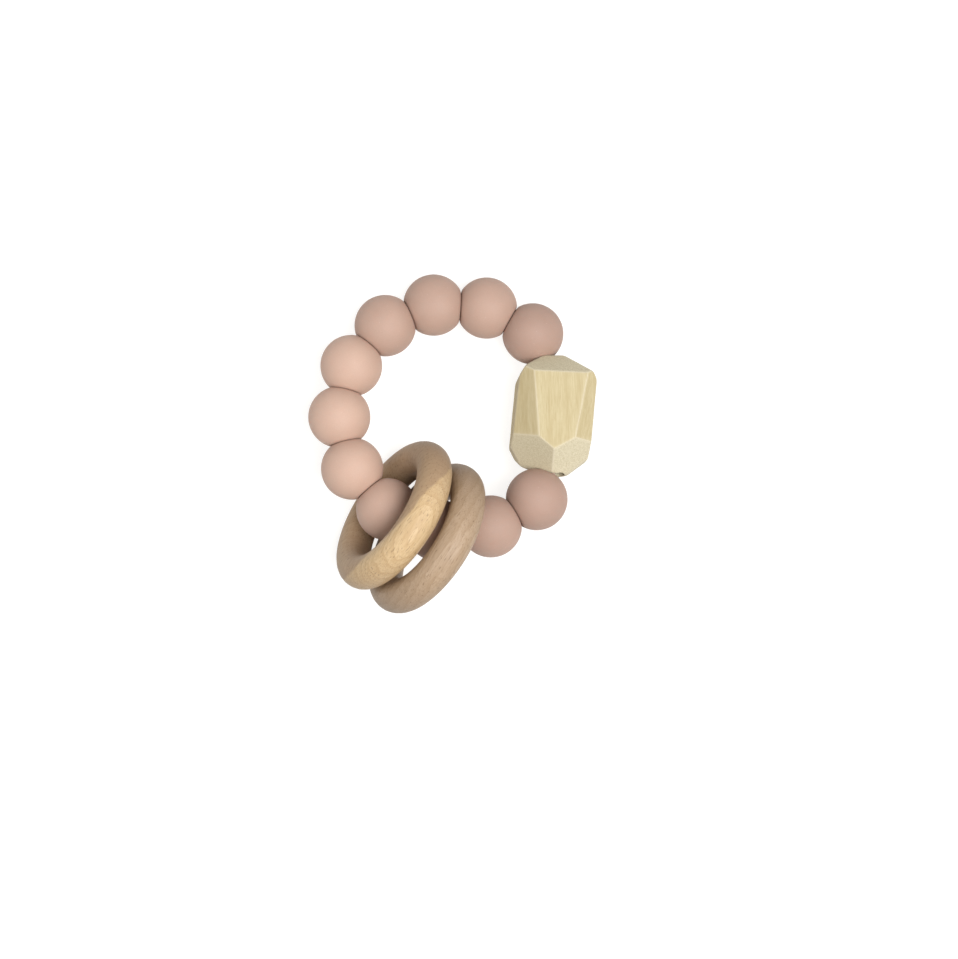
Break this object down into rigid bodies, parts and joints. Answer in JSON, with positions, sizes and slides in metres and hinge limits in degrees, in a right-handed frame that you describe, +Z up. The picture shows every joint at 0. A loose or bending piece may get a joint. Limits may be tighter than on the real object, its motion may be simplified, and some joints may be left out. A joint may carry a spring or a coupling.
{
  "type": "teething rattle",
  "caption": "Teething rattle: a stiff loop of round silicone beads and a faceted wooden bead on a knotted cord, with two turned wooden rings that slide round it.",
  "frame": {"origin": "on the table under the middle of the rattle's box", "axes": "+Z up from the table, +Y from the rings towards the far beads, +X towards the faceted bead"},
  "size_m": [0.0698, 0.0818, 0.0373],
  "materials": {
    "silicone": "matte moulded silicone, dusty rose, with a soft velvety skin",
    "raw_maple": "unvarnished pale maple, cut in facets and lightly sanded, with greyer end grain",
    "turned_beech": "turned and oiled beech, warm tan, with growth rings and short dark flecks",
    "nylon_cord": "braided nylon cord, dusty rose beige"
  },
  "bodies": {
    "string": {"cord": "nylon_cord", "cord_knot": "nylon_cord"},
    "bead_01": {"bead_01": "silicone"},
    "bead_02": {"bead_02": "silicone"},
    "bead_03": {"bead_03": "silicone"},
    "bead_04": {"bead_04": "silicone"},
    "bead_05": {"bead_05": "silicone"},
    "bead_06": {"bead_06": "silicone"},
    "bead_07": {"bead_07": "silicone"},
    "bead_08": {"bead_08": "silicone"},
    "bead_09": {"bead_09": "silicone"},
    "bead_10": {"bead_10": "silicone"},
    "bead_11": {"bead_11": "silicone"},
    "faceted": {"faceted_bead": "raw_maple"},
    "ring_front": {"ring_front": "turned_beech"},
    "ring_back": {"ring_back": "turned_beech"}
  },
  "joints": [
    {"name": "bead_01_spin", "type": "hinge", "parent": "string", "child": "bead_01", "pos_m": [0.01984, 0.02616, 0.00768], "axis": [-0.6167, 0.7842, -0.069], "continuous": true},
    {"name": "bead_02_spin", "type": "hinge", "parent": "string", "child": "bead_02", "pos_m": [0.00857, 0.03265, 0.00757], "axis": [-0.9569, 0.289, 0.0292], "continuous": true},
    {"name": "bead_03_spin", "type": "hinge", "parent": "string", "child": "bead_03", "pos_m": [-0.00437, 0.03347, 0.00842], "axis": [-0.9812, -0.1665, 0.0979], "continuous": true},
    {"name": "bead_04_spin", "type": "hinge", "parent": "string", "child": "bead_04", "pos_m": [-0.01625, 0.02844, 0.01005], "axis": [-0.7967, -0.5865, 0.1458], "continuous": true},
    {"name": "bead_05_spin", "type": "hinge", "parent": "string", "child": "bead_05", "pos_m": [-0.02453, 0.01863, 0.01211], "axis": [-0.4428, -0.8818, 0.1627], "continuous": true},
    {"name": "bead_06_spin", "type": "hinge", "parent": "string", "child": "bead_06", "pos_m": [-0.02745, 0.00613, 0.01417], "axis": [0.0054, -0.9894, 0.1449], "continuous": true},
    {"name": "bead_07_spin", "type": "hinge", "parent": "string", "child": "bead_07", "pos_m": [-0.02439, -0.0064, 0.01578], "axis": [0.4524, -0.8866, 0.0964], "continuous": true},
    {"name": "bead_08_spin", "type": "hinge", "parent": "string", "child": "bead_08", "pos_m": [-0.01601, -0.0163, 0.01661], "axis": [0.8031, -0.5952, 0.0273], "continuous": true},
    {"name": "bead_09_spin", "type": "hinge", "parent": "string", "child": "bead_09", "pos_m": [-0.00407, -0.02146, 0.01647], "axis": [0.983, -0.1771, -0.0476], "continuous": true},
    {"name": "bead_10_spin", "type": "hinge", "parent": "string", "child": "bead_10", "pos_m": [0.00886, -0.02078, 0.0154], "axis": [0.9538, 0.2786, -0.1123], "continuous": true},
    {"name": "bead_11_spin", "type": "hinge", "parent": "string", "child": "bead_11", "pos_m": [0.02006, -0.01441, 0.01363], "axis": [0.6082, 0.7776, -0.1597], "continuous": true},
    {"name": "faceted_bead_spin", "type": "hinge", "parent": "string", "child": "faceted", "pos_m": [0.02441, 0.00585, 0.01033], "axis": [-0.0054, 0.9894, -0.1449], "continuous": true},
    {"name": "ring_front_travel", "type": "hinge", "parent": "string", "child": "ring_front", "pos_m": [0.00066, 0.00598, 0.01209], "axis": [0.0739, 0.1449, 0.9867], "range_deg": [-165, 0]},
    {"name": "ring_back_travel", "type": "hinge", "parent": "string", "child": "ring_back", "pos_m": [0.00066, 0.00598, 0.01209], "axis": [0.0739, 0.1449, 0.9867], "range_deg": [0, 26]}
  ]
}
